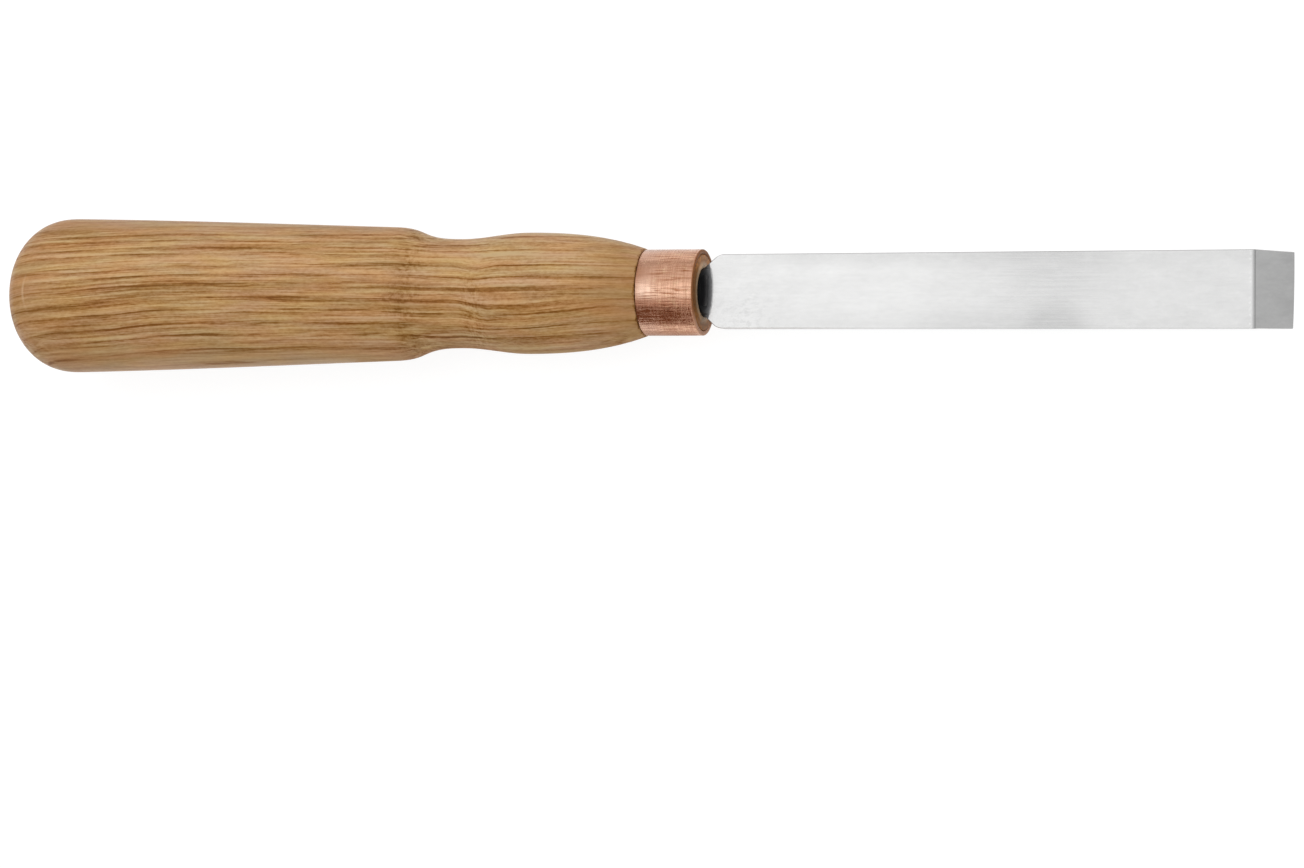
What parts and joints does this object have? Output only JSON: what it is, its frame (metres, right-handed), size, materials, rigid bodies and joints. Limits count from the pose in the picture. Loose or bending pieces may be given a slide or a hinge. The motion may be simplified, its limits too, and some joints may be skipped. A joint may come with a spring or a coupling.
{
  "type": "flat carving chisel",
  "caption": "Flat carving chisel with a turned wooden handle, a copper ferrule and a straight tanged steel blade with a single bevel, for paring and carving wood by hand.",
  "frame": {"origin": "on the axis of the tool, in the plane of the ferrule's mouth, where the bolster seats on the handle", "axes": "+X along the tool towards the cutting edge, +Z out of the bevelled face, +Y across the blade"},
  "size_m": [0.2775, 0.033, 0.033],
  "materials": {
    "handle_wood": "turned oak with an oiled satin finish",
    "ferrule_copper": "drawn copper tube, lightly scratched",
    "blade_steel": "ground lengthwise, with a black forged bolster"
  },
  "bodies": {
    "root": {"handle": "handle_wood", "ferrule": "ferrule_copper", "blade": "blade_steel"}
  },
  "joints": []
}
